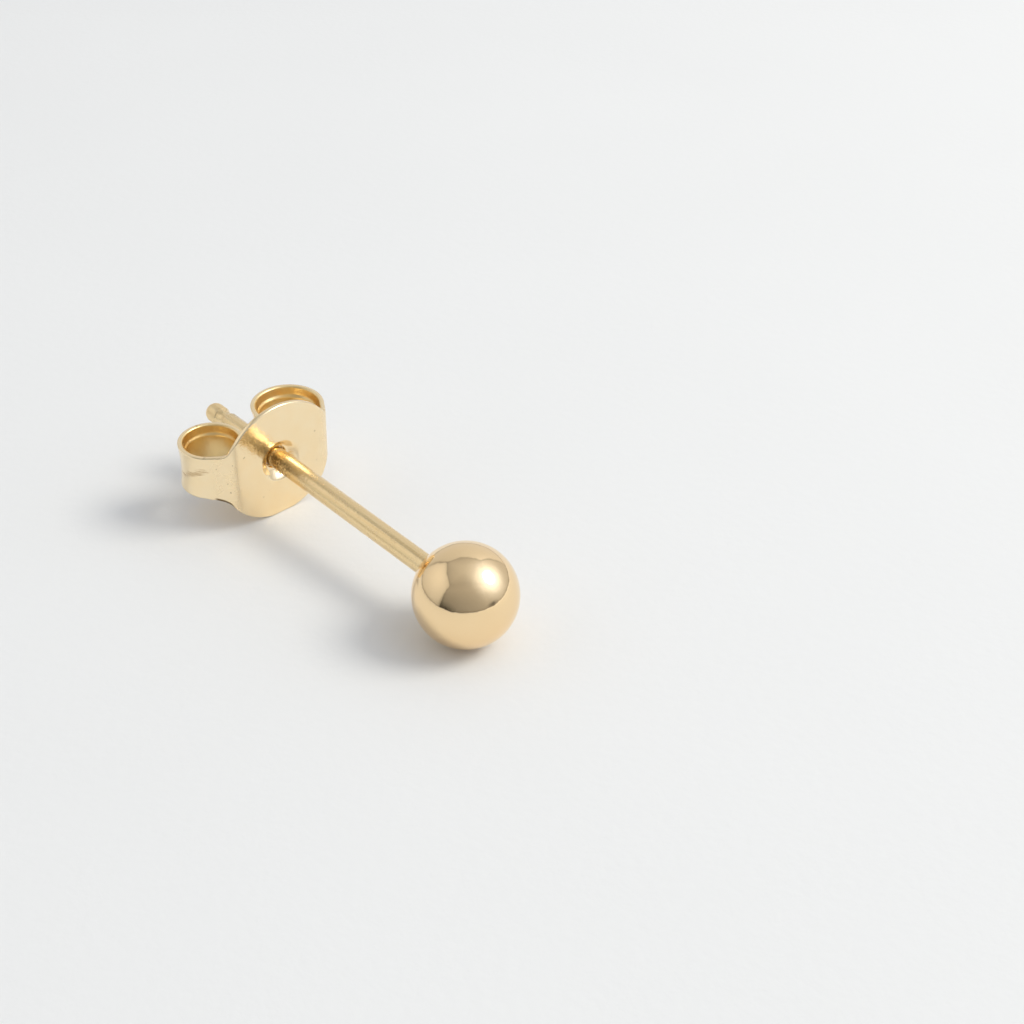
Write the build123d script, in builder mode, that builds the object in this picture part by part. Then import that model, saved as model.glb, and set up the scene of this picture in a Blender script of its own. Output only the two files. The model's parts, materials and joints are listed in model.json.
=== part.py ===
from build123d import *
import os
from math import acos, asin, atan2, cos, degrees, hypot, sin, sqrt

# Ball stud earring with its butterfly back on the post, lying on a surface as it would by itself.
# Millimetres. +Z is up, -Y is the ball's side, +Y is the way the post points, X runs along the
# back's two scrolls. The origin is on the surface, under the middle of the earring.

# ---- driving dimensions -------------------------------------------------------------------
ball_d = 3.5
post_d = 0.74
seam_r = 0.10            # solder fillet where the post meets the ball
post_end = 14.15         # ball centre to the tip of the post
groove_from_tip = 0.95   # middle of the stop groove, measured from the tip
groove_width = 0.52
groove_depth = 0.06

back_at = 9.8            # ball centre to the front face of the back's plate
plate_half_height = 2.28
plate_half_width = 2.34
foot_half_width = 0.45   # the plate's lowest edge is flat over twice this, so it doesn't roll
sheet = 0.18             # thickness of the stamped sheet
hole_clearance = 0.06    # radial, between the hole and the post
dimple_r = 0.86          # countersunk dimple round the hole
dimple_depth = 0.30
collar = 0.15            # how much further the hole's wall reaches behind the dimple
arm_half_height = 0.97   # each arm where it leaves the plate
notch_r = 0.25           # fillet between the plate's round edge and an arm
fold_at = 1.72           # where the arms start to fold back out of the plate
fold_inner_r = 0.47
rim_half_height = 0.86   # each arm once it is rolled

# One row for each scroll, all in mm but the angle: its side (-1 or 1), the roll's centre out from
# the post and behind the plate's front face, the rim's radius, how far the rims flare out from the
# waist, and the angle in degrees round from the front where the roll ends.
# side, centre_out, centre_back, rim_r, flare, roll_end
scrolls = [
    (-1, 1.83, 1.57, 1.180, 0.08, 305),
    (1, 1.61, 1.72, 1.375, 0.14, 292),
]

# ---- how it lies --------------------------------------------------------------------------
# The ball and the foot of the plate both touch the surface, which tips the post up by lie.
ball_r = ball_d / 2
post_r = post_d / 2
hole_r = post_r + hole_clearance
foot_at = plate_half_height * sqrt(1 - (foot_half_width / plate_half_width) ** 2)
reach = hypot(foot_at, back_at)
lie = acos(ball_r / reach) - atan2(back_at, foot_at)

along = Vector(0, cos(lie), sin(lie))
across = Vector(1, 0, 0)
upward = Vector(0, -sin(lie), cos(lie))
ball_centre = Vector(0, (ball_r - post_end * cos(lie)) / 2, ball_r)
hole_centre = ball_centre + along * back_at

# ---- ball stud: ball and post, soldered into one ------------------------------------------
stud_plane = Plane(ball_centre, x_dir=along, z_dir=across)
seam_x = sqrt((ball_r + seam_r) ** 2 - (post_r + seam_r) ** 2)
seam_share = ball_r / (ball_r + seam_r)
groove_x = post_end - groove_from_tip

with BuildPart() as ball_stud:
    with BuildSketch(stud_plane):
        with BuildLine():
            ball = ThreePointArc(
                (-ball_r, 0), (0, ball_r), (seam_x * seam_share, (post_r + seam_r) * seam_share)
            )
            seam = RadiusArc(ball @ 1, (seam_x, post_r), -seam_r)
            shank = Line(seam @ 1, (groove_x - groove_width / 2, post_r))
            groove = ThreePointArc(
                shank @ 1, (groove_x, post_r - groove_depth), (groove_x + groove_width / 2, post_r)
            )
            end = Line(groove @ 1, (post_end - post_r, post_r))
            dome = TangentArc(end @ 1, (post_end, 0), tangent=end % 1)
            Line(dome @ 1, ball @ 0)
        make_face()
    revolve(axis=Axis(ball_centre, along))
ball_stud.part.label = "ball_stud"

# ---- butterfly back: one stamped and rolled sheet -----------------------------------------
plate_plane = Plane(hole_centre, x_dir=across, z_dir=-along)
hole_plane = Plane(hole_centre, x_dir=along, z_dir=across)
hole_axis = Axis(hole_centre, along)
fold_outer_r = fold_inner_r + sheet


def back_point(out, behind):
    """Point in the back's middle plane: out along X, behind the plate's front face."""
    return hole_centre + across * out + along * behind


def fold_angle(centre_out, centre_back, rim_r):
    """Angle of the fold whose straight run is tangent to the fold and to the roll's rim."""
    step_out = centre_out - fold_at
    step_back = centre_back - fold_outer_r
    return atan2(step_back, step_out) + asin((fold_outer_r - rim_r) / hypot(step_out, step_back))


def section_plane(out, behind, angle, side):
    """Plane across the strip: its x points out of the roll, angle radians round from the front."""
    outward = across * (side * sin(angle)) - along * cos(angle)
    return Plane(back_point(side * out, behind), x_dir=outward, z_dir=outward.cross(upward))


def rolled_section(plane, rim_r, waist_r):
    """Section of the rolled strip, whose waist is nearer to the roll's centre than its rims."""
    with BuildSketch(plane, mode=Mode.PRIVATE) as section:
        with BuildLine():
            outer = ThreePointArc((rim_r, -rim_half_height), (waist_r, 0), (rim_r, rim_half_height))
            rim = Line(outer @ 1, (rim_r - sheet, rim_half_height))
            inner = ThreePointArc(
                rim @ 1, (waist_r - sheet, 0), (rim_r - sheet, -rim_half_height)
            )
            Line(inner @ 1, outer @ 0)
        make_face()
    return section.sketch


with BuildPart() as butterfly_back:
    # flat of the plate
    with BuildSketch(plate_plane):
        Rectangle(2 * fold_at, 2 * plate_half_height)
    extrude(amount=-sheet)

    # folds at both sides of the plate
    for side, centre_out, centre_back, rim_r, flare, roll_end in scrolls:
        with BuildSketch(section_plane(fold_at, fold_outer_r, 0, side)):
            with Locations((fold_outer_r - sheet / 2, 0)):
                Rectangle(sheet, 2 * plate_half_height)
        turn = fold_angle(centre_out, centre_back, rim_r)
        fold_axis = Axis(back_point(side * fold_at, fold_outer_r), upward * side)
        revolve(axis=fold_axis, revolution_arc=degrees(turn))

    # stamped outline, seen from the front: a round plate with its foot and an arm at each side
    with BuildSketch(plate_plane) as outline:
        Ellipse(plate_half_width, plate_half_height)
        Rectangle(4 * plate_half_width, 2 * arm_half_height)
        fillet(outline.vertices().sort_by(SortBy.DISTANCE)[:4], radius=notch_r)
        with Locations((0, (plate_half_height - foot_at) / 2)):
            Rectangle(4 * plate_half_width, plate_half_height + foot_at, mode=Mode.INTERSECT)
    extrude(amount=-2 * fold_outer_r, mode=Mode.INTERSECT)

    # countersunk dimple and its hole
    with BuildSketch(hole_plane):
        with BuildLine():
            Polyline(
                (0, 0),
                (0, dimple_r),
                (sheet, dimple_r + sheet / 2),
                (sheet + dimple_depth, hole_r + sheet),
                (sheet + dimple_depth + collar, hole_r + sheet / 2),
                (sheet + dimple_depth + collar, 0),
                close=True,
            )
        make_face()
    revolve(axis=hole_axis)
    with BuildSketch(hole_plane):
        with BuildLine():
            Polyline(
                (0, 0),
                (0, dimple_r),
                (dimple_depth, hole_r),
                (2 * sheet + dimple_depth + collar, hole_r),
                (2 * sheet + dimple_depth + collar, 0),
                close=True,
            )
        make_face()
    revolve(axis=hole_axis, mode=Mode.SUBTRACT)

    # each arm runs straight from its fold, where its waist grows, and then rolls up
    for side, centre_out, centre_back, rim_r, flare, roll_end in scrolls:
        turn = fold_angle(centre_out, centre_back, rim_r)
        with BuildSketch(section_plane(fold_at, fold_outer_r, turn, side)) as fold_end:
            with Locations((fold_outer_r - sheet / 2, 0)):
                Rectangle(sheet, 2 * arm_half_height)
        roll_start = section_plane(centre_out, centre_back, turn, side)
        rolled = rolled_section(roll_start, rim_r, rim_r - flare)
        loft([fold_end.sketch, rolled])
        roll_axis = Axis(back_point(side * centre_out, centre_back), upward * side)
        revolve(rolled, axis=roll_axis, revolution_arc=roll_end - degrees(turn))
butterfly_back.part.label = "butterfly_back"

os.makedirs("parts", exist_ok=True)
export_step(ball_stud.part, "parts/ball_stud.step")
export_step(butterfly_back.part, "parts/butterfly_back.step")
print("lie in degrees", round(degrees(lie), 3))
print("hole centre", hole_centre)
print("ball centre", ball_centre)
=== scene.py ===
# %% [markdown]
# # A ball stud earring
#
# The real earring is two pieces of yellow gold. A polished ball is soldered to a straight wire post,
# and a butterfly back, stamped and rolled from thin sheet, slides on that post. It lies on white paper,
# touching it with the ball and with the lower edge of the back's plate.
#
# The imported CAD model is loaded first. It gives the ball, the post and every place. The back's own
# sizes are written again below, because the blank is rolled from them, and they are those of the CAD
# part. The colours with their marks of wear, painted shade and bounced light, and the light, were
# chosen.

import bmesh
import bpy
import json
from math import asin, atan2, cos, degrees, exp, hypot, pi, radians, sin, sqrt, tan
from mathutils import Matrix, Vector


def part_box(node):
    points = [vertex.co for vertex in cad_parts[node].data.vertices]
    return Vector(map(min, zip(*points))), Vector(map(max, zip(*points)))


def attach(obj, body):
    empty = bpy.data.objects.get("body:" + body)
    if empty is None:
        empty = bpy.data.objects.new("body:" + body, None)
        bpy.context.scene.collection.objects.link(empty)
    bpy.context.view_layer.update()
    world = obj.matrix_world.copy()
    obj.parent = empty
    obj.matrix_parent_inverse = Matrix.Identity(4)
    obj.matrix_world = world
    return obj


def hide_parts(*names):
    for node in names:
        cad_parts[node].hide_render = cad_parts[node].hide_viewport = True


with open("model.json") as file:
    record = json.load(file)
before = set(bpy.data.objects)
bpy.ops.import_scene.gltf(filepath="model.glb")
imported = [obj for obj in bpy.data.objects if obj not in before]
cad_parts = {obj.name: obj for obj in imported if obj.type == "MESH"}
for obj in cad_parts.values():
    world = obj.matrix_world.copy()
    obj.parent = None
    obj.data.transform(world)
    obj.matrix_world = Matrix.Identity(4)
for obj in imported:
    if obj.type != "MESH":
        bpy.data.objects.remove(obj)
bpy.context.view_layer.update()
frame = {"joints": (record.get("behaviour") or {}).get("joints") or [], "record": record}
MM = 0.001

# %% [markdown]
# ## Places
#
# The post points along the axis of the back's slide, which tips up a little because the back's plate
# is taller than the ball. The ball fills one end of the stud's box, so its centre and radius come from
# that box, and the plate's front face comes from the back's box.

# %% Ball, post axis and plate
along = Vector(frame["joints"][0]["axis"]).normalized()
across = Vector((1, 0, 0))
upward = across.cross(along)
stud_low, stud_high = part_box("ball_stud")
back_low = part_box("butterfly_back")[0]

ball_r = (stud_high.x - stud_low.x) / 2 / MM
ball_centre = Vector((0, stud_low.y + ball_r * MM, stud_low.z + ball_r * MM))
post_r = frame["record"]["mounts"][0]["dims"]["r_mm"]
post_end = (stud_high.y - ball_centre.y) / MM / along.y

plate_half_height = 2.28
plate_half_width = 2.34
plate_front = Vector((0, back_low.y, 0))
plate_front.y += plate_half_height * MM * along.z
plate_front.z = ball_centre.z + (plate_front.y - ball_centre.y) * along.z / along.y
print("ball radius", round(ball_r, 3), "post", round(post_r, 3), round(post_end, 3))
print("plate is", round((plate_front - ball_centre).length / MM, 3), "mm behind the ball's centre")


# %% [markdown]
# ## Helpers
#
# One helper adds a node to any tree, sets it and links it, for geometry and materials alike. Another
# turns a colour as it is written on screen into the linear light that a shader counts in. The third
# carries a finished mesh from its own millimetres to its place in the frame.


# %% One helper for nodes, one for colours, one for places
def add(tree, kind, inputs=None, **settings):
    """Adds one node, applies its settings, and links or fills its inputs."""
    made = tree.nodes.new(kind)
    for name, value in settings.items():
        setattr(made, name, value)
    for name, value in (inputs or {}).items():
        if isinstance(value, bpy.types.NodeSocket):
            tree.links.new(value, made.inputs[name])
        else:
            made.inputs[name].default_value = value
    return made


def linear(code):
    """Linear RGBA of an sRGB hex colour."""
    parts = [int(code[i : i + 2], 16) / 255 for i in (1, 3, 5)]
    return [c / 12.92 if c <= 0.04045 else ((c + 0.055) / 1.055) ** 2.4 for c in parts] + [1.0]


def into_place(mesh, origin, x_axis, y_axis, z_axis):
    """Puts a mesh made in millimetres at its place in the frame, in metres."""
    turn = Matrix((x_axis, y_axis, z_axis)).transposed().to_4x4()
    mesh.transform(Matrix.Translation(origin) @ turn @ Matrix.Scale(MM, 4))
    mesh.update()


# %% [markdown]
# ## Gold
#
# All of it is 14 carat yellow gold, pale and warm. The metal's colour is the colour of its mirror
# reflection, so it is close to white with the blue held back. The three finishes differ in how smooth
# the maker left them: the ball is buffed to a mirror, the wire keeps the fine lines of the drawplate,
# and the sheet has the slightly uneven, rubbed face that stamping, rolling and tumbling give.


# %% Start a gold
def start_gold(name):
    """An empty metal material with its shader, and its object coordinates."""
    material = bpy.data.materials.new(name)
    material.use_nodes = True
    tree = material.node_tree
    tree.nodes.clear()
    shader = add(tree, "ShaderNodeBsdfPrincipled", {"Metallic": 1.0})
    add(tree, "ShaderNodeOutputMaterial", {"Surface": shader.outputs["BSDF"]})
    place = add(tree, "ShaderNodeTexCoord").outputs["Object"]
    return material, tree, shader, place


# %% Polished gold of the ball
# Buffed 14 carat gold: a near mirror. The eye sees clean, slightly soft reflections, and only the very
# faintest waviness and haze left by the mop, with hairlines too fine to count. Round the post a small
# brown ring is painted shade, which dulls the light bounced between the ball and the wire.
ball_gold, tree, shader, place = start_gold("buffed_14ct_gold")
turned = add(
    tree,
    "ShaderNodeMapping",
    {"Vector": place, "Location": -ball_centre / MM, "Scale": (1 / MM,) * 3},
)
haze = add(tree, "ShaderNodeTexNoise", {"Vector": turned.outputs[0], "Scale": 1.1, "Detail": 3.0})
tint = add(
    tree,
    "ShaderNodeMix",
    {0: haze.outputs["Fac"], 6: linear("#F9DAAA"), 7: linear("#FBDFB2")},
    data_type="RGBA",
)
pole = add(tree, "ShaderNodeSeparateXYZ", {0: turned.outputs[0]}).outputs["Y"]
# painted shade: the ball is browned round the post, where the wire meets it
ball_joint_shade = add(
    tree, "ShaderNodeMapRange", {"Value": pole, "From Min": 1.6, "From Max": 1.68, "To Max": 0.8}
)
tint = add(
    tree,
    "ShaderNodeMix",
    {0: ball_joint_shade.outputs[0], 6: tint.outputs[2], 7: linear("#7A542A")},
    data_type="RGBA",
)
soft = add(
    tree,
    "ShaderNodeMapRange",
    {"Value": haze.outputs["Fac"], "From Min": 0.3, "From Max": 0.7, "To Min": 0.055, "To Max": 0.085},
)
mop = add(tree, "ShaderNodeTexNoise", {"Vector": turned.outputs[0], "Scale": 2.2, "Detail": 2.0})
wavy = add(
    tree,
    "ShaderNodeBump",
    {"Height": mop.outputs["Fac"], "Distance": 0.4 * MM, "Strength": 0.02},
)
for socket, value in (
    ("Base Color", tint.outputs[2]),
    ("Roughness", soft.outputs[0]),
    ("Normal", wavy.outputs[0]),
):
    tree.links.new(value, shader.inputs[socket])
print("made", ball_gold.name)

# %% Drawn gold of the wire
# Wire pulled through a drawplate: fine lines run along it, so highlights break up into streaks. The
# lines are about 0.03 mm wide, drawn here at 0.07 mm so that they show, and the small pits, 0.09 mm
# apart, are what wear and cleaning leave on the soft metal. A dark patch on one side just in front of
# the back is a painted reflection of the dark dimple, with some residue. At the ball the wire is
# painted browner as shade, and the tip is duller from handling.
wire_gold, tree, shader, place = start_gold("drawn_14ct_gold_wire")
turned = add(
    tree,
    "ShaderNodeMapping",
    {
        "Vector": place,
        "Location": ball_centre,
        "Rotation": (asin(along.z), 0, 0),
        "Scale": (MM,) * 3,
    },
    vector_type="TEXTURE",
)
drawn = add(
    tree, "ShaderNodeMapping", {"Vector": turned.outputs[0], "Scale": (14.0, 0.35, 14.0)}
)
lines = add(tree, "ShaderNodeTexNoise", {"Vector": drawn.outputs[0], "Scale": 1.0, "Detail": 4.0})
marks = add(tree, "ShaderNodeTexNoise", {"Vector": turned.outputs[0], "Scale": 3.0, "Detail": 3.0})
pits = add(tree, "ShaderNodeTexNoise", {"Vector": turned.outputs[0], "Scale": 11.0, "Detail": 2.0})
tint = add(
    tree,
    "ShaderNodeMix",
    {0: lines.outputs["Fac"], 6: linear("#EFCD92"), 7: linear("#FBE6BA")},
    data_type="RGBA",
)
apart = add(tree, "ShaderNodeSeparateXYZ", {0: turned.outputs[0]})
masks = {}
for name, source, start, end in (
    # painted shade: the wire is browned where it meets the ball
    ("solder", apart.outputs["Y"], 1.95, 1.82),
    ("tip", apart.outputs["Y"], 13.3, 13.7),
    # painted reflection: a dark patch on one side before the back stands for the dimple's dark
    # reflection, with some residue
    ("grime", pits.outputs["Fac"], 0.38, 0.52),
    ("grime starts", apart.outputs["Y"], 8.5, 9.3),
    ("grime stops", apart.outputs["Y"], 10.4, 9.9),
    ("grime beside", apart.outputs["X"], -0.1, -0.28),
):
    ramp = {"Value": source, "From Min": start, "From Max": end}
    masks[name] = add(tree, "ShaderNodeMapRange", ramp, interpolation_type="SMOOTHSTEP").outputs[0]
for name in ("grime starts", "grime stops", "grime beside"):
    both = {0: masks["grime"], 1: masks.pop(name)}
    masks["grime"] = add(tree, "ShaderNodeMath", both, operation="MULTIPLY").outputs[0]
tint = tint.outputs[2]
# painted shade browns the wire at the ball; the dark patch before the back is a painted reflection with
# some residue
for name, amount, shade in (("solder", 0.5, "#7A5A30"), ("grime", 0.6, "#5E4526")):
    share = add(tree, "ShaderNodeMath", {0: masks[name], 1: amount}, operation="MULTIPLY")
    layer = {0: share.outputs[0], 6: tint, 7: linear(shade)}
    tint = add(tree, "ShaderNodeMix", layer, data_type="RGBA").outputs[2]
soft = add(
    tree,
    "ShaderNodeMapRange",
    {"Value": marks.outputs["Fac"], "From Min": 0.3, "From Max": 0.7, "To Min": 0.18, "To Max": 0.3},
)
soft = add(
    tree, "ShaderNodeMath", {0: masks["tip"], 1: 0.15, 2: soft.outputs[0]}, operation="MULTIPLY_ADD"
)
ridges = add(
    tree,
    "ShaderNodeBump",
    {"Height": lines.outputs["Fac"], "Distance": 0.02 * MM, "Strength": 0.4},
)
grainy = add(
    tree,
    "ShaderNodeBump",
    {
        "Height": pits.outputs["Fac"],
        "Distance": 0.02 * MM,
        "Strength": 0.35,
        "Normal": ridges.outputs[0],
    },
)
for socket, value in (
    ("Base Color", tint),
    ("Roughness", soft.outputs[0]),
    ("Normal", grainy.outputs[0]),
):
    tree.links.new(value, shader.inputs[socket])
print("made", wire_gold.name)

# %% Stamped gold of the sheet: colour
# Rolled, stamped and tumbled sheet: bright but not a mirror. It has faint clouds, a few dark specks
# of 0.1 mm and one rubbed streak on the left arm. A dark line of painted shade runs along the left
# arm's lower edge beside its notch. The inside, where no mop can reach, is painted a deeper gold, the
# colour that light takes when it bounces between gold walls.
sheet_gold, tree, shader, place = start_gold("stamped_14ct_gold_sheet")
blank = add(tree, "ShaderNodeAttribute", attribute_name="on_blank").outputs["Vector"]
clouds = add(tree, "ShaderNodeTexNoise", {"Vector": blank, "Scale": 1.6, "Detail": 4.0})
specks = add(tree, "ShaderNodeTexNoise", {"Vector": blank, "Scale": 5.5, "Detail": 1.0})
stretched = add(tree, "ShaderNodeMapping", {"Vector": blank, "Scale": (1.2, 16.0, 1.0)}).outputs[0]
grazes = add(tree, "ShaderNodeTexNoise", {"Vector": stretched, "Scale": 1.0, "Detail": 3.0})
streak = add(
    tree,
    "ShaderNodeMapping",
    {
        "Vector": blank,
        "Location": (-3.45, 0.05, 0.0),
        "Rotation": (0, 0, radians(24)),
        "Scale": (0.9, 0.17, 1.0),
    },
    vector_type="TEXTURE",
)
off_streak = add(tree, "ShaderNodeVectorMath", {0: streak.outputs[0]}, operation="LENGTH")
frayed = add(
    tree,
    "ShaderNodeMath",
    {0: grazes.outputs["Fac"], 1: 3.2, 2: off_streak.outputs["Value"]},
    operation="MULTIPLY_ADD",
)
apart = add(tree, "ShaderNodeSeparateXYZ", {0: blank})
outward = add(tree, "ShaderNodeMath", {0: apart.outputs["X"]}, operation="ABSOLUTE").outputs[0]
near_edge = add(tree, "ShaderNodeAttribute", attribute_name="from_edge").outputs["Fac"]
masks = {}
for name, source, start, end in (
    ("speck", specks.outputs["Fac"], 0.74, 0.79),
    ("rubbed", frayed.outputs[0], 2.5, 1.7),
    # inside: really duller, and its colour is painted bounced light
    ("inside", apart.outputs["Z"], 0.10, 0.17),
    ("bent", outward, 1.7, 1.85),
    ("bent stops", outward, 3.0, 2.5),
    # painted shade: a dark line along the left arm's lower edge, beside its notch
    ("dirt", near_edge, 0.16, 0.1),
    ("dirt starts", apart.outputs["X"], -1.95, -2.1),
    ("dirt stops", apart.outputs["X"], -2.68, -2.52),
    ("dirt below", apart.outputs["Y"], -0.3, -0.6),
):
    ramp = {"Value": source, "From Min": start, "From Max": end}
    masks[name] = add(tree, "ShaderNodeMapRange", ramp, interpolation_type="SMOOTHSTEP").outputs[0]
for name in ("bent stops", "dirt starts", "dirt stops", "dirt below"):
    whole = name.split()[0]
    both = {0: masks[whole], 1: masks.pop(name)}
    masks[whole] = add(tree, "ShaderNodeMath", both, operation="MULTIPLY").outputs[0]
tint = add(
    tree,
    "ShaderNodeMix",
    {0: clouds.outputs["Fac"], 6: linear("#FCE1B2"), 7: linear("#FEECC8")},
    data_type="RGBA",
).outputs[2]
for name, amount, shade in (
    # painted light: the saturated gold of light bounced between the sheet's inner walls
    ("inside", 0.45, "#F0CB6C"),
    ("rubbed", 0.5, "#A58250"),
    ("speck", 0.5, "#7D5F35"),
    # painted shade for the left arm's lower edge
    ("dirt", 0.9, "#5E4422"),
):
    share = add(tree, "ShaderNodeMath", {0: masks[name], 1: amount}, operation="MULTIPLY")
    layer = {0: share.outputs[0], 6: tint, 7: linear(shade)}
    tint = add(tree, "ShaderNodeMix", layer, data_type="RGBA").outputs[2]
tree.links.new(tint, shader.inputs["Base Color"])
print("colours of", sheet_gold.name, "with", ", ".join(masks))

# %% Stamped gold of the sheet: surface
# The roughness follows the clouds, the streak and the inside, and the bends, whose stretched metal is
# duller. The relief is a slow wave from the rollers, fine scratches along the strip, and a grain of
# 0.08 mm from tumbling.
soft = add(
    tree,
    "ShaderNodeMapRange",
    {"Value": clouds.outputs["Fac"], "From Min": 0.3, "From Max": 0.7, "To Min": 0.1, "To Max": 0.2},
).outputs[0]
for name, amount in (("inside", 0.2), ("rubbed", 0.2), ("bent", 0.13)):
    sums = {0: masks[name], 1: amount, 2: soft}
    soft = add(tree, "ShaderNodeMath", sums, operation="MULTIPLY_ADD").outputs[0]
tree.links.new(soft, shader.inputs["Roughness"])

relief = None
for source, scale, detail, distance, strength in (
    (blank, 1.3, 2.0, 0.06, 0.45),
    (stretched, 1.0, 3.0, 0.01, 0.3),
    (blank, 12.0, 2.0, 0.012, 0.35),
):
    pattern = add(tree, "ShaderNodeTexNoise", {"Vector": source, "Scale": scale, "Detail": detail})
    bump = {"Height": pattern.outputs["Fac"], "Distance": distance * MM, "Strength": strength}
    if relief:
        bump["Normal"] = relief
    relief = add(tree, "ShaderNodeBump", bump).outputs[0]
tree.links.new(relief, shader.inputs["Normal"])
print("made", sheet_gold.name)

# %% [markdown]
# ## The ball and its post
#
# Both are round, so each is a turned profile. A screw modifier or a spin would do it as well, but a
# short helper of rings and quads keeps the poles closed, the faces outward and the ends clean. The
# ball's profile is a dense half circle, because a mirror shows every facet. The post's profile has the
# little solder fillet where it meets the ball, the shallow groove near its end that stops the back from
# sliding off, and the rounded tip.


# %% Turn a profile into a closed mesh
def turn_profile(name, profile, sides):
    """Turns (along, radius) points, first and last on the axis, about the mesh's own Y axis."""
    points, faces = [], []
    for y, r in profile[1:-1]:
        for k in range(sides):
            a = 2 * pi * k / sides
            points.append((r * sin(a), y, r * cos(a)))
    rings = len(profile) - 2
    first, last = len(points), len(points) + 1
    points += [(0, profile[0][0], 0), (0, profile[-1][0], 0)]
    for k in range(sides):
        n = (k + 1) % sides
        faces.append((first, k, n))
        faces.append((last, (rings - 1) * sides + n, (rings - 1) * sides + k))
        for i in range(rings - 1):
            a, b = i * sides, (i + 1) * sides
            faces.append((a + k, b + k, b + n, a + n))
    mesh = bpy.data.meshes.new(name)
    mesh.from_pydata(points, [], faces)
    return mesh


def finish_turned(name, profile, sides, material):
    """Makes a turned piece of the stud, in place, smooth and facing outward."""
    mesh = turn_profile(name, profile, sides)
    into_place(mesh, ball_centre, across, along, upward)
    work = bmesh.new()
    work.from_mesh(mesh)
    bmesh.ops.recalc_face_normals(work, faces=work.faces)
    work.to_mesh(mesh)
    work.free()
    mesh.polygons.foreach_set("use_smooth", [True] * len(mesh.polygons))
    mesh.materials.append(material)
    piece = bpy.data.objects.new(name, mesh)
    bpy.context.scene.collection.objects.link(piece)
    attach(piece, "stud")
    print(name, len(mesh.polygons), "faces")
    return piece


def arc(centre, radius, start, end, steps):
    """Points on an arc in (along, radius), start and end in degrees."""
    turns = [radians(start + (end - start) * i / steps) for i in range(steps + 1)]
    return [(centre[0] + radius * cos(t), centre[1] + radius * sin(t)) for t in turns]


# %% Ball
ball_profile = arc((0, 0), ball_r, 180, 0, 120)
ball_profile[0], ball_profile[-1] = (-ball_r, 0), (ball_r, 0)
ball = finish_turned("polished_ball", ball_profile, 192, ball_gold)

# %% Post
seam_r = 0.10
groove_from_tip, groove_width, groove_depth = 0.95, 0.52, 0.06
groove_at = post_end - groove_from_tip
stub, stub_over = 0.35, 0.12  # how deep the post starts inside the ball, and how much wider it is there
land = 0.16  # straight wire between the groove and the next ring of the profile
seam_x = sqrt((ball_r + seam_r) ** 2 - (post_r + seam_r) ** 2)
seam_lean = degrees(atan2(post_r + seam_r, seam_x))
groove_r = (groove_width**2 / 4 + groove_depth**2) / (2 * groove_depth)
groove_turn = degrees(asin(groove_width / 2 / groove_r))

post_profile = [(ball_r - stub, 0), (ball_r - stub, post_r + stub_over)]
post_profile += arc((seam_x, post_r + seam_r), seam_r, 180 + seam_lean, 270, 8)
shank_end = groove_at - groove_width / 2
post_profile += [(seam_x + (shank_end - seam_x) * i / 12, post_r) for i in range(1, 12)]
post_profile += arc(
    (groove_at, post_r - groove_depth + groove_r), groove_r, 270 - groove_turn, 270 + groove_turn, 12
)
post_profile += [(groove_at + groove_width / 2 + land, post_r)]
post_profile += arc((post_end - post_r, 0), post_r, 90, 0, 14)
post_profile[-1] = (post_end, 0)
post = finish_turned("grooved_post", post_profile, 72, wire_gold)
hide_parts("ball_stud")
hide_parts("ball_stud")

# %% [markdown]
# ## The butterfly back
#
# The real one starts as a flat blank: a round plate with an arm at each side, pierced and countersunk
# in the middle. A tool folds the arms back and rolls each into a scroll. It could be modelled as a bent
# tube, or sculpted, but its shape follows that rule exactly, so the blank is made flat here and
# Geometry Nodes does the folding and rolling, with the maker's sizes as its inputs.
#
# The blank is a grid of columns across the strip. The outline's half height at each column is read
# where that column will stand after the fold, so the plate still looks round from the front.

# %% Sizes of the back, in millimetres
sheet = 0.18
hole_clearance = 0.06
hole_r = post_r + hole_clearance
dimple_r, dimple_depth = 0.86, 0.30
collar = 0.15  # how much further the hole's wall reaches behind the dimple
arm_half_height, rim_half_height = 0.97, 0.86
notch_r = 0.25
foot_half_width = 0.45  # the plate's lowest edge is flat over twice this, so that it doesn't roll
fold_at, fold_outer_r = 1.72, 0.65
edge_r = 0.05
sharp_angle = 1.0  # in radians: an edge that turns by more than this is rounded
edge_curl = 0.035  # each arm's lower edge is turned under a little beside its notch
step_height = 0.06  # inside the scrolls, the sheet is thicker away from its edges

# each scroll: side, roll centre out from the post and behind the plate's front, rim radius, how far
# the rims flare from the waist, and the angle from the front where the roll ends
scrolls = {
    "Left": (-1, 1.83, 1.57, 1.180, 0.08, 305),
    "Right": (1, 1.61, 1.72, 1.375, 0.14, 292),
}
fold_r = fold_outer_r - sheet / 2
foot_at = plate_half_height * sqrt(1 - (foot_half_width / plate_half_width) ** 2)


def strip_lengths(centre_out, centre_back, rim_r, roll_end):
    """Angle of the fold, then the lengths of fold, straight run and roll along the strip's middle."""
    out, back = centre_out - fold_at, centre_back - fold_outer_r
    turn = atan2(back, out) + asin((fold_outer_r - rim_r) / hypot(out, back))
    run = sqrt(hypot(out, back) ** 2 - (fold_outer_r - rim_r) ** 2)
    return turn, fold_r * turn, run, (rim_r - sheet / 2) * (radians(roll_end) - turn)


for name, (side, out, back, rim_r, flare, roll_end) in scrolls.items():
    turn, *lengths = strip_lengths(out, back, rim_r, roll_end)
    print(name, "fold of", round(degrees(turn), 1), "degrees; lengths", [round(x, 2) for x in lengths])

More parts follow.
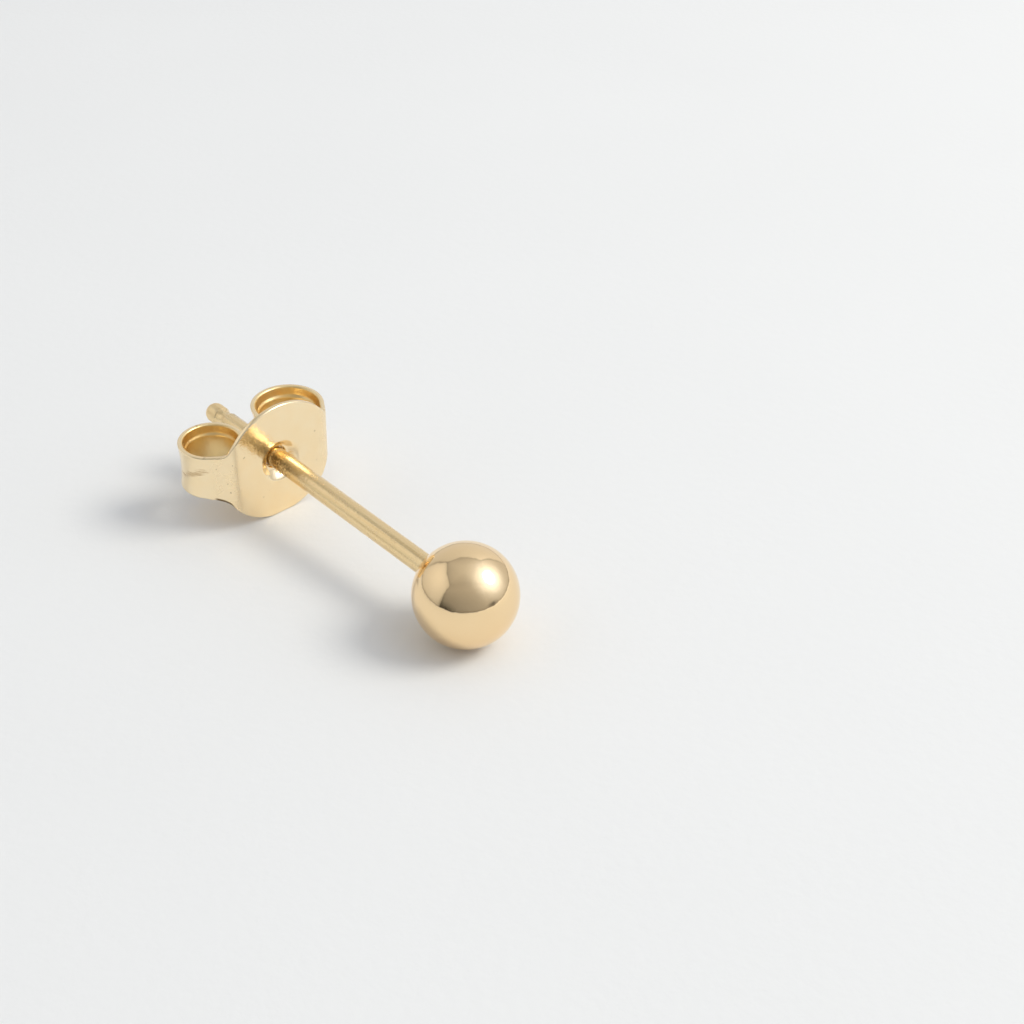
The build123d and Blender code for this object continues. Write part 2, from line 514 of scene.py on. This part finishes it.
# %% Outline of the plate, seen from the front
# The notch is an arc that touches the round plate and the arm's edge.
low, high = 0.0, pi / 2
for _ in range(60):
    t = (low + high) / 2
    normal = Vector((cos(t) / plate_half_width, sin(t) / plate_half_height)).normalized()
    notch = Vector((plate_half_width * cos(t), plate_half_height * sin(t))) + normal * notch_r
    low, high = (t, high) if notch.y < arm_half_height + notch_r else (low, t)
notch_from = notch.x - normal.x * notch_r


def outline(out):
    """Half height of the blank where it stands this far out from the post."""
    if out < notch_from:
        return plate_half_height * sqrt(1 - (out / plate_half_width) ** 2)
    if out < notch.x:
        return notch.y - sqrt(max(notch_r**2 - (out - notch.x) ** 2, 0))
    return arm_half_height


print("the notch runs from", round(notch_from, 3), "to", round(notch.x, 3), "mm out")


# %% Columns of the blank
def column(name, along_strip):
    """Half height of the blank at a distance along the strip from the post."""
    side, out, back, rim_r, flare, roll_end = scrolls[name]
    turn, fold, run, roll = strip_lengths(out, back, rim_r, roll_end)
    past = max(along_strip - fold_at, 0)
    straight = min(max(past - fold, 0), run)
    stands = min(along_strip, fold_at) + fold_r * sin(min(past, fold) / fold_r) + straight * cos(turn)
    taper = straight / run
    return outline(stands) - (arm_half_height - rim_half_height) * taper


centre_half = 0.95  # half width of the middle patch, which rings round the hole fill
centre_columns = 24
patch = [centre_half * (2 * i / centre_columns - 1) for i in range(centre_columns + 1)]
columns = [(x, "Right", abs(x)) for x in patch]
for name, (side, out, back, rim_r, flare, roll_end) in scrolls.items():
    turn, fold, run, roll = strip_lengths(out, back, rim_r, roll_end)
    ends = [centre_half, fold_at, fold_at + fold, fold_at + fold + run, fold_at + fold + run + roll]
    counts = [16, 18, 12, 92]
    arm = []
    for start, end, count in zip(ends, ends[1:], counts):
        arm += [start + (end - start) * (i + 1) / count for i in range(count)]
    columns += [(side * a, name, a) for a in arm]
columns.sort()
print(len(columns), "columns, from", round(columns[0][0], 2), "to", round(columns[-1][0], 2), "mm")

# %% Flat blank, front and back, with the hole's rings
# Rows lie close together near both edges, where the sheet's curl and its inner step need them, and are
# even between. Where the edge slopes they lie further apart, so that they keep their distance from it
# and its rounding never folds over them. In the middle, a square of columns and rows is left out and
# filled with rings that go from the square to the round hole.
rows = 52
edge_rows = [0, 0.06, 0.075, 0.09, 0.11, 0.14, 0.18, 0.23, 0.29, 0.33, 0.37, 0.42]
ring_start, ring_count = 0.90, 15
slope_step = 0.01  # how far to both sides of a column the edge's slope is measured
work = bmesh.new()
patch_rows = range(rows // 2 - centre_columns // 2, rows // 2 + centre_columns // 2 + 1)
first_patch = next(i for i, c in enumerate(columns) if abs(c[0] + centre_half) < 1e-6)
patch_columns = range(first_patch, first_patch + centre_columns + 1)


def row_height(j, half, lean):
    """Height of a row in a column of this half height, whose edge is this much longer than level."""
    step = min(j, rows - j)
    last = len(edge_rows) - 1
    inner = half - edge_rows[-1] * lean
    even = half - inner * (1 - (step - last) / (rows / 2 - last))
    away = edge_rows[step] * lean if step <= last else even
    return (half - away) * (1 if j > rows / 2 else -1)


def edge_lean(name, along_strip):
    """Length of the blank's sloping edge for each millimetre along the strip."""
    after, before = along_strip + slope_step, max(along_strip - slope_step, 0)
    return hypot(1, (column(name, after) - column(name, before)) / (2 * slope_step))


def blank_side(depth):
    """Vertices of one side of the blank, as a grid, with the middle left empty."""
    grid = {}
    for i, (x, name, a) in enumerate(columns):
        half, lean = column(name, a), edge_lean(name, a)
        for j in range(rows + 1):
            if i not in patch_columns[1:-1] or j not in patch_rows[1:-1]:
                reaches = min(half, foot_at) if j < rows / 2 else half
                grid[i, j] = work.verts.new((x, row_height(j, reaches, lean), depth))
    return grid


def quad(a, b, c, d, outward):
    """One face, wound so that it looks to the front or to the back."""
    work.faces.new((a, b, c, d) if outward else (d, c, b, a))


def fill_side(depth, outward):
    """Faces of one side, and its ring of hole vertices."""
    grid = blank_side(depth)
    for i in range(len(columns) - 1):
        for j in range(rows):
            if i in patch_columns[:-1] and j in patch_rows[:-1]:
                continue
            quad(grid[i, j], grid[i + 1, j], grid[i + 1, j + 1], grid[i, j + 1], outward)
    i0, i1, j0, j1 = patch_columns[0], patch_columns[-1], patch_rows[0], patch_rows[-1]
    border = [grid[i, j0] for i in range(i0, i1)] + [grid[i1, j] for j in range(j0, j1)]
    border += [grid[i, j1] for i in range(i1, i0, -1)] + [grid[i0, j] for j in range(j1, j0, -1)]
    outer = border
    radii = [ring_start + (hole_r - ring_start) * i / ring_count for i in range(ring_count + 1)]
    for r in radii:
        ring = []
        for v in border:
            a = atan2(v.co.y, v.co.x)
            ring.append(work.verts.new((r * cos(a), r * sin(a), depth)))
        for k in range(len(ring)):
            n = (k + 1) % len(ring)
            quad(outer[k], outer[n], ring[n], ring[k], outward)
        outer = ring
    return grid, outer


front, front_hole = fill_side(0.0, True)
rear, rear_hole = fill_side(sheet, False)
print(len(work.verts), "vertices in both sides")

# %% Rim, ends and hole wall of the blank
rim = [(i, 0) for i in range(len(columns))] + [(len(columns) - 1, j) for j in range(1, rows + 1)]
rim += [(i, rows) for i in range(len(columns) - 2, -1, -1)] + [(0, j) for j in range(rows - 1, 0, -1)]
for k in range(len(rim)):
    a, b = rim[k], rim[(k + 1) % len(rim)]
    quad(front[b], front[a], rear[a], rear[b], True)
for k in range(len(front_hole)):
    n = (k + 1) % len(front_hole)
    quad(front_hole[k], front_hole[n], rear_hole[n], rear_hole[k], True)
bmesh.ops.recalc_face_normals(work, faces=work.faces)
sharp = [e for e in work.edges if len(e.link_faces) == 2 and e.calc_face_angle() > sharp_angle]
outer_edges = [e for e in sharp if min(v.co.xy.length for v in e.verts) > hole_r + 0.01]
bmesh.ops.bevel(work, geom=outer_edges, offset=edge_r, segments=4, profile=0.5, affect="EDGES")
print(len(work.faces), "faces in the flat blank,", len(sharp), "rim edges rounded")
flat = bpy.data.meshes.new("butterfly_back")
work.to_mesh(flat)
work.free()
flat.polygons.foreach_set("use_smooth", [True] * len(flat.polygons))
from_edge = flat.attributes.new("from_edge", "FLOAT", "POINT")
for v in flat.vertices:
    half = column("Left" if v.co.x < 0 else "Right", abs(v.co.x))
    from_edge.data[v.index].value = half - abs(v.co.y)
butterfly = bpy.data.objects.new("butterfly_back_rolled", flat)
bpy.context.scene.collection.objects.link(butterfly)

# %% [markdown]
# ### Fold and roll it with Geometry Nodes
#
# Each point of the blank is carried by the strip's middle line: straight over the plate, round the
# fold, along the short straight run, and round the roll. Its height above that line, through the
# sheet's thickness, is kept, and the waist of the roll is drawn in so that both rims flare. The two
# arms have their own sizes, which a switch picks by the side a point is on. The rule is a table of
# small sums, one node for each row.

# %% Inputs of the tree
tree = bpy.data.node_groups.new("fold_and_roll_the_back", "GeometryNodeTree")
tree.interface.new_socket("Geometry", in_out="INPUT", socket_type="NodeSocketGeometry")
sizes = {
    "Sheet": sheet,
    "Fold at": fold_at,
    "Fold radius": fold_outer_r,
    "Dimple radius": dimple_r,
    "Dimple depth": dimple_depth,
    "Hole radius": hole_r,
    "Arm half height": arm_half_height,
    "Collar": collar,
    "Edge curl": edge_curl,
    "Step height": step_height,
}
for name, (side, out, back, rim_r, flare, roll_end) in scrolls.items():
    turn = strip_lengths(out, back, rim_r, roll_end)[0]
    sizes |= {
        name + " roll out": out,
        name + " roll back": back,
        name + " rim radius": rim_r,
        name + " flare": flare,
        name + " fold angle": turn,
    }
for name in sizes:
    tree.interface.new_socket(name, in_out="INPUT", socket_type="NodeSocketFloat")
tree.interface.new_socket("Gold", in_out="INPUT", socket_type="NodeSocketMaterial")
tree.interface.new_socket("Geometry", in_out="OUTPUT", socket_type="NodeSocketGeometry")
given = add(tree, "NodeGroupInput")
print(len(sizes), "sizes go into the tree")

# %% The rule as a table
position = add(tree, "GeometryNodeInputPosition")
apart = add(tree, "ShaderNodeSeparateXYZ", {0: position.outputs[0]})
value = {name: given.outputs[name] for name in sizes}
value |= {"x": apart.outputs["X"], "y": apart.outputs["Y"], "depth": apart.outputs["Z"]}
on_left = add(tree, "FunctionNodeCompare", {"A": value["x"], "B": 0.0}, operation="LESS_THAN")
for name in ("roll out", "roll back", "rim radius", "flare", "fold angle"):
    pick = add(
        tree,
        "GeometryNodeSwitch",
        {"Switch": on_left.outputs[0], "False": value["Right " + name], "True": value["Left " + name]},
        input_type="FLOAT",
    )
    value[name] = pick.outputs[0]


def work_out(sums):
    """Adds the sums of a table, each a name, an operation and its terms, and keeps their results."""
    for name, operation, *terms in sums:
        filled = {i: value[t] if isinstance(t, str) else t for i, t in enumerate(terms)}
        value[name] = add(tree, "ShaderNodeMath", filled, operation=operation, label=name).outputs[0]


rule = [
    # where the point is on the strip
    ("a", "ABSOLUTE", "x"),
    ("side", "SIGN", "x"),
    ("half sheet", "MULTIPLY", "Sheet", 0.5),
    ("fold r", "SUBTRACT", "Fold radius", "half sheet"),
    ("roll r", "SUBTRACT", "rim radius", "half sheet"),
    ("past plate", "SUBTRACT", "a", "Fold at"),
    ("past plate", "MAXIMUM", "past plate", 0.0),
    ("flat out", "MINIMUM", "a", "Fold at"),
    # the fold
    ("fold length", "MULTIPLY", "fold r", "fold angle"),
    ("in fold", "MINIMUM", "past plate", "fold length"),
    ("fold turn", "DIVIDE", "in fold", "fold r"),
    # the straight run, which touches the fold and the roll
    ("step out", "SUBTRACT", "roll out", "Fold at"),
    ("step back", "SUBTRACT", "roll back", "Fold radius"),
    ("step out 2", "MULTIPLY", "step out", "step out"),
    ("step 2", "MULTIPLY_ADD", "step back", "step back", "step out 2"),
    ("radii apart", "SUBTRACT", "Fold radius", "rim radius"),
    ("radii apart 2", "MULTIPLY", "radii apart", "radii apart"),
    ("run", "SUBTRACT", "step 2", "radii apart 2"),
    ("run", "SQRT", "run"),
    ("past fold", "SUBTRACT", "past plate", "fold length"),
    ("past fold", "MAXIMUM", "past fold", 0.0),
    ("in run", "MINIMUM", "past fold", "run"),
    # the roll
    ("past run", "SUBTRACT", "past fold", "run"),
    ("past run", "MAXIMUM", "past run", 0.0),
    ("roll turn", "DIVIDE", "past run", "roll r"),
    ("turn", "ADD", "fold turn", "roll turn"),
    ("sin turn", "SINE", "turn"),
    ("cos turn", "COSINE", "turn"),
    ("sin fold", "SINE", "fold turn"),
    ("cos fold", "COSINE", "fold turn"),
    # out from the post, along the middle of the sheet
    ("out", "MULTIPLY_ADD", "fold r", "sin fold", "flat out"),
    ("out", "MULTIPLY_ADD", "in run", "cos fold", "out"),
    ("sin gain", "SUBTRACT", "sin turn", "sin fold"),
    ("out", "MULTIPLY_ADD", "roll r", "sin gain", "out"),
    # back from the plate's front face
    ("fold fall", "SUBTRACT", 1.0, "cos fold"),
    ("behind", "MULTIPLY_ADD", "fold r", "fold fall", "half sheet"),
    ("behind", "MULTIPLY_ADD", "in run", "sin fold", "behind"),
    ("cos gain", "SUBTRACT", "cos fold", "cos turn"),
    ("behind", "MULTIPLY_ADD", "roll r", "cos gain", "behind"),
    # the waist, drawn in by the flare, more and more along the straight run
    ("high", "DIVIDE", "y", "Arm half height"),
    ("high", "MULTIPLY", "high", "high"),
    ("waist", "SUBTRACT", 1.0, "high"),
    ("waist", "MAXIMUM", "waist", 0.0),
    ("eased", "DIVIDE", "in run", "run"),
    ("waist", "MULTIPLY", "waist", "eased"),
    ("waist", "MULTIPLY", "waist", "flare"),
]
work_out(rule)
print(len(rule), "sums in the rule")

# %% Dimple, curl, step, new position and finish
# The dimple is a soft cone: the punch pushed the sheet back round the hole, and drew a short collar
# out behind it. The shears turned each arm's lower edge under beside its notch, and the step thickens
# the sheet on the inside of the scrolls only.
from_hole = add(
    tree,
    "ShaderNodeVectorMath",
    {0: add(tree, "ShaderNodeCombineXYZ", {0: value["x"], 1: value["y"]}).outputs[0]},
    operation="LENGTH",
)
dimple = add(
    tree,
    "ShaderNodeMapRange",
    {
        "Value": from_hole.outputs["Value"],
        "From Min": value["Dimple radius"],
        "From Max": value["Hole radius"],
        "To Min": 0.0,
        "To Max": value["Dimple depth"],
    },
    interpolation_type="SMOOTHSTEP",
)
value["dimple"] = dimple.outputs[0]
edge = add(tree, "GeometryNodeInputNamedAttribute", {"Name": "from_edge"}, data_type="FLOAT")
for name, source, start, end in (
    ("curl", edge.outputs[0], 0.15, 0.0),
    ("curl starts", value["past plate"], 0.0, 0.25),
    ("curl stops", value["past plate"], 1.1, 0.85),
    ("lower half", value["y"], 0.0, -0.5),
    ("step", edge.outputs[0], 0.29, 0.42),
    ("step starts", value["in run"], 0.0, 0.5),
    ("inner face", value["depth"], 0.0, sheet),
    ("collar", from_hole.outputs["Value"], hole_r + 0.20, hole_r + 0.06),
):
    ramp = {"Value": source, "From Min": start, "From Max": end, "To Min": 0.0, "To Max": 1.0}
    value[name] = add(tree, "ShaderNodeMapRange", ramp, interpolation_type="SMOOTHSTEP").outputs[0]
rule = [
    ("in sheet", "ADD", "depth", "dimple"),
    ("height", "SUBTRACT", "half sheet", "in sheet"),
    ("height", "SUBTRACT", "height", "waist"),
    ("curl", "MULTIPLY", "curl", "curl starts"),
    ("curl", "MULTIPLY", "curl", "curl stops"),
    ("curl", "MULTIPLY", "curl", "lower half"),
    ("curl", "MULTIPLY", "curl", "Edge curl"),
    ("height", "SUBTRACT", "height", "curl"),
    ("step", "MULTIPLY", "step", "step starts"),
    ("step", "MULTIPLY", "step", "Step height"),
    ("step", "MULTIPLY_ADD", "collar", "Collar", "step"),
    ("step", "MULTIPLY", "step", "inner face"),
    ("height", "SUBTRACT", "height", "step"),
    ("out", "MULTIPLY_ADD", "height", "sin turn", "out"),
    ("lift", "MULTIPLY", "height", "cos turn"),
    ("behind", "SUBTRACT", "behind", "lift"),
    ("x", "MULTIPLY", "out", "side"),
]
work_out(rule)
bent = add(tree, "ShaderNodeCombineXYZ", {0: value["x"], 1: value["behind"], 2: value["y"]})
kept = add(
    tree,
    "GeometryNodeStoreNamedAttribute",
    {
        "Geometry": given.outputs["Geometry"],
        "Name": "on_blank",
        "Value": position.outputs[0],
    },
    data_type="FLOAT_VECTOR",
    domain="POINT",
)
moved = add(
    tree, "GeometryNodeSetPosition", {"Geometry": kept.outputs[0], "Position": bent.outputs[0]}
)
real = add(tree, "GeometryNodeRealizeInstances", {0: moved.outputs[0]})
golden = add(
    tree, "GeometryNodeSetMaterial", {"Geometry": real.outputs[0], "Material": given.outputs["Gold"]}
)
add(tree, "NodeGroupOutput", {0: golden.outputs[0]})
print(len(tree.nodes), "nodes in the tree")

# %% Run the tree and keep its mesh
rolling = butterfly.modifiers.new("fold_and_roll", "NODES")
rolling.node_group = tree
for item in tree.interface.items_tree:
    if item.in_out == "INPUT" and item.name in sizes:
        rolling[item.identifier] = float(sizes[item.name])
    if item.in_out == "INPUT" and item.name == "Gold":
        rolling[item.identifier] = sheet_gold
bpy.context.view_layer.update()
ready = butterfly.evaluated_get(bpy.context.evaluated_depsgraph_get())
rolled = bpy.data.meshes.new_from_object(ready)
butterfly.modifiers.remove(rolling)
butterfly.data = rolled
into_place(rolled, plate_front, across, along, upward)
work = bmesh.new()
work.from_mesh(rolled)
bmesh.ops.recalc_face_normals(work, faces=work.faces)
work.to_mesh(rolled)
work.free()
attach(butterfly, "back")
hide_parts("butterfly_back")
places = [[v.co[i] / MM for v in rolled.vertices] for i in range(3)]
spread = [round(max(line) - min(line), 3) for line in places]
print("the back measures", spread, "mm,", len(rolled.polygons), "faces")

# %% [markdown]
# ## The table and the light
#
# A polished ball shows the whole room, so the room matters more than the lamps. Jewellery is usually
# shown in a light tent, a box of thin white cloth that a lamp outside shines through: the metal then
# mirrors plain white with a few soft seams. A dome of cards could stand in for it, but the tent is
# simple to build and looks right from every side. The earring lies on white paper inside it.


# %% Paper
# Matt white paper with a faint tooth and a trace of uneven brightness.
paper = bpy.data.materials.new("matt_white_paper")
paper.use_nodes = True
tree = paper.node_tree
tree.nodes.clear()
shader = add(tree, "ShaderNodeBsdfPrincipled", {"Roughness": 0.85, "Specular IOR Level": 0.2})
add(tree, "ShaderNodeOutputMaterial", {"Surface": shader.outputs["BSDF"]})
place = add(tree, "ShaderNodeTexCoord").outputs["Object"]
tooth = add(tree, "ShaderNodeTexNoise", {"Vector": place, "Scale": 2500.0, "Detail": 4.0})
broad = add(tree, "ShaderNodeTexNoise", {"Vector": place, "Scale": 60.0, "Detail": 2.0})
tint = add(
    tree,
    "ShaderNodeMix",
    {0: broad.outputs["Fac"], 6: linear("#E7E8E8"), 7: linear("#EAEBEB")},
    data_type="RGBA",
)
grain = add(
    tree,
    "ShaderNodeBump",
    {"Height": tooth.outputs["Fac"], "Distance": 0.03 * MM, "Strength": 0.4},
)
tree.links.new(tint.outputs[2], shader.inputs["Base Color"])
tree.links.new(grain.outputs[0], shader.inputs["Normal"])

table_reach = 0.6
floor_mesh = bpy.data.meshes.new("paper_table")
floor_z = stud_low.z
signs = ((-1, -1), (1, -1), (1, 1), (-1, 1))
table_corners = [(table_reach * x, table_reach * y, floor_z) for x, y in signs]
floor_mesh.from_pydata(table_corners, [], [(0, 1, 2, 3)])
floor_mesh.materials.append(paper)
table = bpy.data.objects.new("paper_table", floor_mesh)
bpy.context.scene.collection.objects.link(table)


# %% Light tent
# Azimuth runs from +Y towards +X. The tent is a box of white cloth, about 0.7 m wide and 0.55 m high.
# Each wall glows a little unevenly, given by its four corners, and three seams and the hems are
# darker. A lamp outside a real tent makes a broad soft glow on the wall that it stands behind, and that
# glow is painted on the cloth here.
tent_reach, tent_high = 0.5, 0.56
wall_wide, wall_tall, hem_span = 95, 80, 60  # degrees that a wall and a hem are counted over
foot_hem = (2.6, 0.35)  # width and depth of the dark line where the cloth meets the table
hem_width = 4.0
lamp_azimuth, lamp_elevation = 135, 43


def towards(azimuth, elevation):
    """Direction from the earring, as a unit vector."""
    a, e = radians(azimuth), radians(elevation)
    return Vector((sin(a) * cos(e), cos(a) * cos(e), sin(e)))


def dip(distance, width, depth):
    """One away from a seam, and less by depth on it."""
    return 1 - depth * exp(-((distance / width) ** 2))


# wall, azimuth where it starts, glow at its four corners (bottom start and end, top start and end),
# how much brighter its middle is, its starting seam's width in degrees and how dark that seam is at
# the bottom and at the top, and how dark its upper hem is
walls = [
    ("left_wall", -86, (0.52, 0.66, 0.66, 0.72), 0.20, (5.0, 0.45, 0.12), 0.15),
    ("back_wall", -5, (0.62, 0.84, 0.60, 0.86), 0.00, (3.5, 0.10, 0.45), 0.15),
    ("right_wall", 83, (0.66, 0.46, 0.62, 0.52), 0.00, (3.5, 0.15, 0.40), 0.00),
    ("front_wall", 173, (0.48, 0.14, 0.54, 0.38), 0.00, (3.5, 0.00, 0.00), 0.00),
]
ceiling = (0.40, 0.46, 0.54, 0.50)  # at the starts of the four walls
lamp_glow, glow_width = (1.62, 1.80, 2.16), 24.0  # the cloth spreads the cooler part of the light

# two dark clips hold the cloth at its foot: azimuth, elevation, how wide and high, how dark
clips = [(-99, 2, 15, 9, 0.62), (165, 4, 9, 3.5, 0.75)]


def lit(direction, plain):
    """Colour of the cloth in a direction: its own white, plus the lamp's spread through it."""
    azimuth, elevation = degrees(atan2(direction.x, direction.y)), degrees(asin(direction.z))
    for at, above, wide, high, dark in clips:
        aside = (azimuth - at + 180) % 360 - 180
        plain *= dip(hypot(aside / wide, (elevation - above) / high), 1, dark)
    off_lamp = degrees(towards(lamp_azimuth, lamp_elevation).angle(direction))
    return [plain + part * exp(-((off_lamp / glow_width) ** 2)) for part in lamp_glow]


def blend(four, u, v):
    """Value between four corners, numbers or points: low start and end, high start and end."""
    return (four[0] * (1 - u) + four[1] * u) * (1 - v) + (four[2] * (1 - u) + four[3] * u) * v


# %% Cloth of the tent
points, faces, glow = [], [], []
steps = [0, 0.01, 0.02, 0.03, 0.045, 0.06, 0.09] + [0.12 + 0.76 * i / 20 for i in range(21)]
steps += [1 - s for s in (0.09, 0.06, 0.045, 0.03, 0.02, 0.01, 0)]


def stretch(four, shade):
    """One panel of the tent between four corners, with the glow at each of its points."""
    first, n = len(points), len(steps)
    for v in steps:
        for u in steps:
            point = blend(four, u, v)
            points.append(point)
            glow.extend(lit(point.normalized(), shade(u, v, point)))
    for j in range(n - 1):
        for i in range(n - 1):
            k = first + j * n + i
            faces.append((k, k + 1, k + n + 1, k + n))


corners = [towards(start, 0) * tent_reach for name, start, *rest in walls]
up = Vector((0, 0, tent_high))
for k, (name, start, four, belly, seam, hem) in enumerate(walls):
    after = walls[(k + 1) % 4][4]

    def wall_shade(u, v, point):
        width, low, high = seam if u < 0.5 else after
        rise = min(v / 0.6, 1)
        own = blend(four, u, rise) + belly * 16 * u * (1 - u) * v * (1 - v)
        own *= dip(wall_wide * min(u, 1 - u), width, low + (high - low) * rise)
        return own * dip(wall_tall * v, *foot_hem) * dip(hem_span * (1 - v), hem_width, hem)

    a, b = corners[k], corners[(k + 1) % 4]
    stretch((a, b, a + up, b + up), wall_shade)


def ceiling_shade(u, v, point):
    """The ceiling is brightest in the middle, and has a hem along the left and the back wall."""
    own = blend((ceiling[0], ceiling[1], ceiling[3], ceiling[2]), u, v)
    own += 0.12 * min(2.5 * min(u, v, 1 - u, 1 - v), 1)
    return own * dip(hem_span * v, hem_width, 0.15) * dip(hem_span * (1 - u), hem_width, 0.15)


stretch([corners[i] + up for i in (0, 1, 3, 2)], ceiling_shade)
tent_mesh = bpy.data.meshes.new("light_tent")
tent_mesh.from_pydata([p + Vector((0, 0, floor_z)) for p in points], [], faces)
shown = tent_mesh.attributes.new("glow", "FLOAT_VECTOR", "POINT")
shown.data.foreach_set("vector", glow)
cloth = bpy.data.materials.new("tent_cloth")
cloth.use_nodes = True
tree = cloth.node_tree
tree.nodes.clear()
own = add(tree, "ShaderNodeAttribute", attribute_name="glow").outputs["Color"]
light = add(tree, "ShaderNodeEmission", {"Color": own, "Strength": 1.0})
add(tree, "ShaderNodeOutputMaterial", {"Surface": light.outputs[0]})
tent_mesh.materials.append(cloth)
tent = bpy.data.objects.new("light_tent", tent_mesh)
bpy.context.scene.collection.objects.link(tent)
print("tent of", len(faces), "faces, glow from", round(min(glow), 2), "to", round(max(glow), 2))

# %% Lamp
# This cloth lets no light through, so the lamp stands just inside it, in front of its own glow, and the
# camera doesn't see it. It is a little warm, and the room around the tent is a plain grey.
lamp_distance, lamp_half_angle = 0.42, 12.5  # metres, and degrees that half of it fills
lamp = bpy.data.lights.new("studio_lamp", "AREA")
lamp.shape = "DISK"
lamp.size = 2 * lamp_distance * tan(radians(lamp_half_angle))
lamp.energy = 0.86
lamp.color = (1.0, 0.94, 0.81)
standing = bpy.data.objects.new("studio_lamp", lamp)
out_to_lamp = towards(lamp_azimuth, lamp_elevation)
standing.location = out_to_lamp * lamp_distance + Vector((0, 0, floor_z))
standing.rotation_euler = out_to_lamp.to_track_quat("Z", "Y").to_euler()
standing.visible_camera = False
bpy.context.scene.collection.objects.link(standing)

world = bpy.data.worlds.new("dim_studio")
bpy.context.scene.world = world
world.use_nodes = True
room = world.node_tree.nodes["Background"]
room.inputs["Color"].default_value = linear("#C2C1BE")
room.inputs["Strength"].default_value = 1.0
print("lamp", round(lamp.size, 3), "m across,", lamp.energy, "W")

# %% [markdown]
# ## Camera and finish
#
# The camera looks down at the earring from the ball's side, with the back behind it to the left. It
# stands close with a normal lens, which draws the near ball a little larger.

# %% Camera
from_ball = Vector((-26.0922, -29.8380, 30.9697))  # millimetres from the ball's centre
camera_pitch, camera_turn = 55, -43.303  # degrees up from straight down, and round from +Y
lens = bpy.data.cameras.new("camera")
lens.sensor_width = 36.0
lens.lens = 55.29
lens.clip_start, lens.clip_end = 0.001, 10.0
camera = bpy.data.objects.new("camera", lens)
camera.location = ball_centre + from_ball * MM
camera.rotation_euler = (radians(camera_pitch), 0, radians(camera_turn))
bpy.context.scene.collection.objects.link(camera)
bpy.context.scene.camera = camera
bpy.context.scene.view_settings.view_transform = "Standard"
